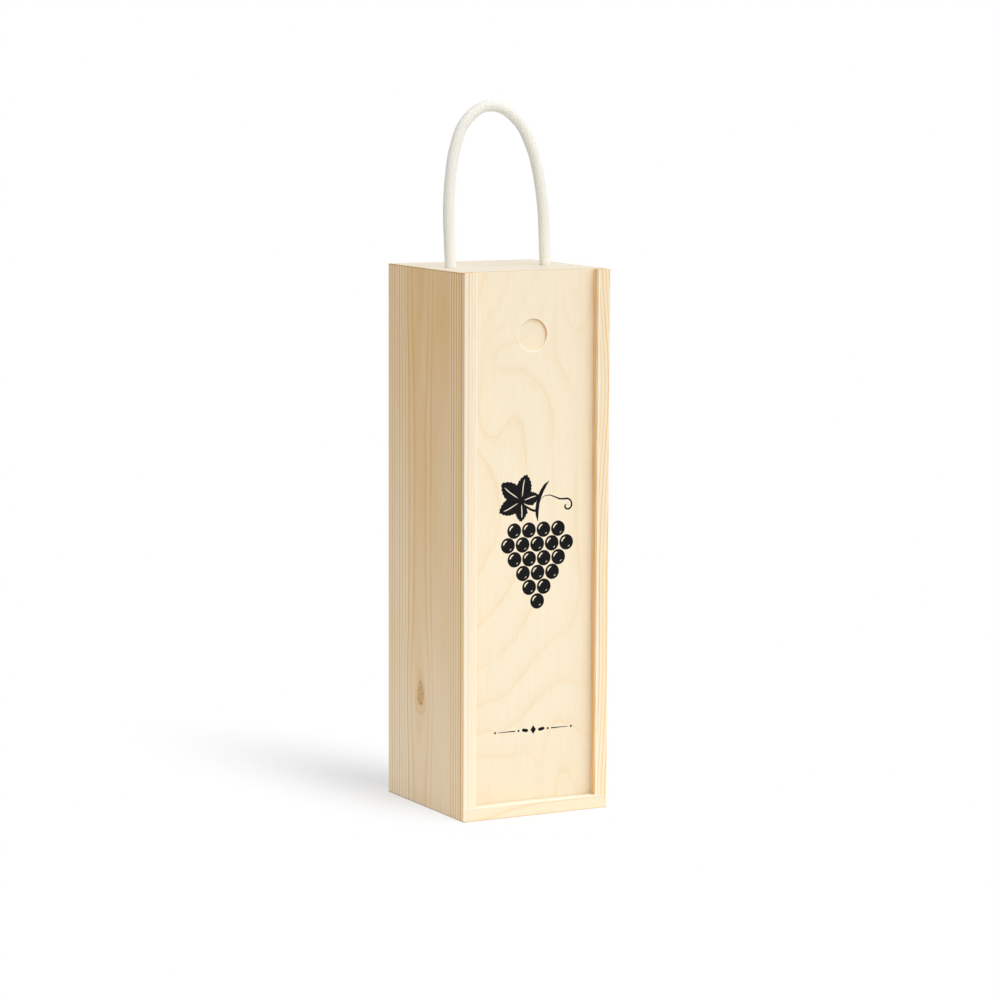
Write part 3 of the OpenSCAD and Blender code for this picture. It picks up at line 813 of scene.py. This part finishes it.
def black_ink():
    """Printing ink on bare wood. Near black and matt, a touch thinner where the fibres stand."""
    material, tree, shader = new_material("black printing ink")
    where = place_in_mm(tree)
    stretched = add(tree, "ShaderNodeMapping", {"Vector": where, "Scale": (1.6, 1.0, 0.12)})
    fibre = add(tree, "ShaderNodeTexNoise", {"Vector": stretched, "Scale": 1.0, "Detail": 3.0, "Roughness": 0.65})
    thin = add(tree, "ShaderNodeMapRange", {"Value": fibre, "From Min": 0.35, "From Max": 0.75})
    tone = add(tree, "ShaderNodeMix", {0: thin, 6: linear("#08080A"), 7: linear("#18181B")}, out=2, data_type="RGBA")
    tree.links.new(tone, shader.inputs["Base Color"])
    rough = add(tree, "ShaderNodeMapRange", {"Value": fibre, "To Min": 0.45, "To Max": 0.75})
    tree.links.new(rough, shader.inputs["Roughness"])
    bump = add(tree, "ShaderNodeBump", {"Height": fibre, "Strength": 0.10, "Distance": 0.0001}, out="Normal")
    tree.links.new(bump, shader.inputs["Normal"])
    shader.inputs["Specular IOR Level"].default_value = 0.12
    return material


ink = black_ink()
for shape in prints:
    wear(shape, ink)


def cotton():
    """Braided cotton yarn, unbleached. Chalky and soft: cream on the yarns, a little darker and
    warmer in the hollows between them, which is painted shade."""
    material, tree, shader = new_material("braided cotton")
    place = add(tree, "ShaderNodeTexCoord", out="UV")
    threads = add(tree, "ShaderNodeMapping", {"Vector": place, "Scale": (9000, 2600, 1)})
    lint = add(tree, "ShaderNodeTexNoise", {"Vector": threads, "Scale": 1.0, "Detail": 2.0})
    yarn = add(tree, "ShaderNodeAttribute", out="Fac", attribute_name="yarn")
    # Darker and warmer in the hollows between the yarns: painted shade
    hollow_shade = add(tree, "ShaderNodeMapRange", {"Value": yarn, "From Min": 0.05, "From Max": 0.75,
                                              "To Min": 0.9, "To Max": 0.0})
    tone = add(tree, "ShaderNodeMix", {0: lint, 6: linear("#FAF8ED"), 7: linear("#FFFFF9")}, out=2, data_type="RGBA")
    tone = add(tree, "ShaderNodeMix", {0: hollow_shade, 6: tone, 7: linear("#DBD4BE")}, out=2, data_type="RGBA")
    tree.links.new(tone, shader.inputs["Base Color"])
    bump = add(tree, "ShaderNodeBump", {"Height": lint, "Strength": 0.20, "Distance": 0.0001}, out="Normal")
    tree.links.new(bump, shader.inputs["Normal"])
    rough = add(tree, "ShaderNodeMath", {0: lint, 1: 0.15, 2: 0.80}, operation="MULTIPLY_ADD")
    tree.links.new(rough, shader.inputs["Roughness"])
    shader.inputs["Subsurface Weight"].default_value = 0.3
    shader.inputs["Subsurface Radius"].default_value = (1.0, 0.9, 0.75)
    shader.inputs["Subsurface Scale"].default_value = 0.0005
    shader.inputs["Sheen Weight"].default_value = 0.2
    shader.inputs["Sheen Roughness"].default_value = 0.5
    shader.inputs["Specular IOR Level"].default_value = 0.2
    return material


rope_cotton = cotton()
for piece in [rope] + knots:
    wear(piece, rope_cotton)


def seen_rays(tree):
    """1 for rays from the camera, and for those mirrored or passed through on their way to it."""
    rays = add(tree, "ShaderNodeLightPath").node.outputs
    passed = add(tree, "ShaderNodeMath", {0: rays["Is Glossy Ray"], 1: rays["Is Transmission Ray"]},
                 operation="MAXIMUM")
    return add(tree, "ShaderNodeMath", {0: rays["Is Camera Ray"], 1: passed}, operation="MAXIMUM")


# Floor: white, and it keeps the shadow; far from the box it is as white as the background. The shadow is
# kept within an oval: its middle, turn and half sizes are in metres and radians

SHADOW_MIDDLE, SHADOW_TURN, SHADOW_HALF = (-0.051, 0.112, 0.0), (0, 0, 0.163), (0.091, 0.266, 1.0)
bpy.ops.object.select_all(action="DESELECT")
bpy.ops.mesh.primitive_circle_add(vertices=96, radius=6.0, fill_type="NGON", location=(0, 0, -0.0001))
floor = bpy.context.object
floor.name = "floor"
bpy.ops.object.transform_apply(location=True, rotation=True, scale=True)
paper, tree, shader = new_material("white paper floor")
place = add(tree, "ShaderNodeTexCoord", out="Object")
distance = add(tree, "ShaderNodeVectorMath", {0: place}, out="Value", operation="LENGTH")
aside = add(tree, "ShaderNodeMapping", {"Vector": place, "Location": SHADOW_MIDDLE, "Rotation": SHADOW_TURN,
                                        "Scale": SHADOW_HALF}, vector_type="TEXTURE")
aside = add(tree, "ShaderNodeVectorMath", {0: aside}, out="Value", operation="LENGTH")
fade = add(tree, "ShaderNodeMapRange", {"Value": aside, "From Min": -0.20, "From Max": 1.05},
           interpolation_type="SMOOTHSTEP")
dusk = add(tree, "ShaderNodeMapRange", {"Value": distance, "From Min": 0.20, "From Max": 0.90},
           interpolation_type="SMOOTHSTEP")
white = add(tree, "ShaderNodeEmission", {"Color": (1, 1, 1, 1), "Strength": 1.0})
sheet_colour = add(tree, "ShaderNodeMix", {0: dusk, 6: linear("#F9FAFD"), 7: linear("#C0C0C2")}, out=2,
                   data_type="RGBA")
tree.links.new(sheet_colour, shader.inputs["Base Color"])
shader.inputs["Roughness"].default_value = 1.0
shader.inputs["Specular IOR Level"].default_value = 0.0
far_off = add(tree, "ShaderNodeMath", {0: seen_rays(tree), 1: fade}, operation="MULTIPLY")
both = add(tree, "ShaderNodeMixShader", {0: far_off, 1: shader.outputs[0], 2: white})
tree.links.new(both, tree.nodes["Material Output"].inputs["Surface"])
wear(floor, paper)


# Light: a soft white room, brighter above and towards the front right, with a wide lamp and a small one, both
# high in front and a little to the right

world = bpy.data.worlds.new("studio")
scene.world = world
world.use_nodes = True
tree = world.node_tree
facing = add(tree, "ShaderNodeTexCoord", out="Generated")
parts = add(tree, "ShaderNodeSeparateXYZ", {0: facing}).node.outputs
to_front = add(tree, "ShaderNodeVectorMath", {0: facing, 1: (0.50, -0.866, 0.0)}, out="Value",
               operation="DOT_PRODUCT")
room = add(tree, "ShaderNodeMath", {0: parts["Z"], 1: 0.48, 2: 0.51}, operation="MULTIPLY_ADD")
room = add(tree, "ShaderNodeMath", {0: to_front, 1: 0.46, 2: room}, operation="MULTIPLY_ADD")
strength = add(tree, "ShaderNodeMix", {0: seen_rays(tree), 2: room, 3: 1.0}, data_type="FLOAT")
tree.links.new(strength, tree.nodes["Background"].inputs["Strength"])
tree.nodes["Background"].inputs["Color"].default_value = (1, 1, 1, 1)


def distant_lamp(name, energy, spread, to_the_right, height):
    """A lamp far away. Spread is its width as an angle; the other two angles say where it stands."""
    data = bpy.data.lights.new(name, "SUN")
    data.energy = energy
    data.angle = math.radians(spread)
    obj = bpy.data.objects.new(name, data)
    scene.collection.objects.link(obj)
    turn, rise = math.radians(to_the_right), math.radians(height)
    toward = Vector((math.sin(turn) * math.cos(rise), -math.cos(turn) * math.cos(rise), math.sin(rise)))
    obj.rotation_mode = "QUATERNION"
    obj.rotation_quaternion = toward.to_track_quat("Z", "Y")
    obj.location = toward * 2.5


distant_lamp("wide softbox", 0.48, 75, 20, 45)
distant_lamp("key", 0.22, 12, 15, 50)
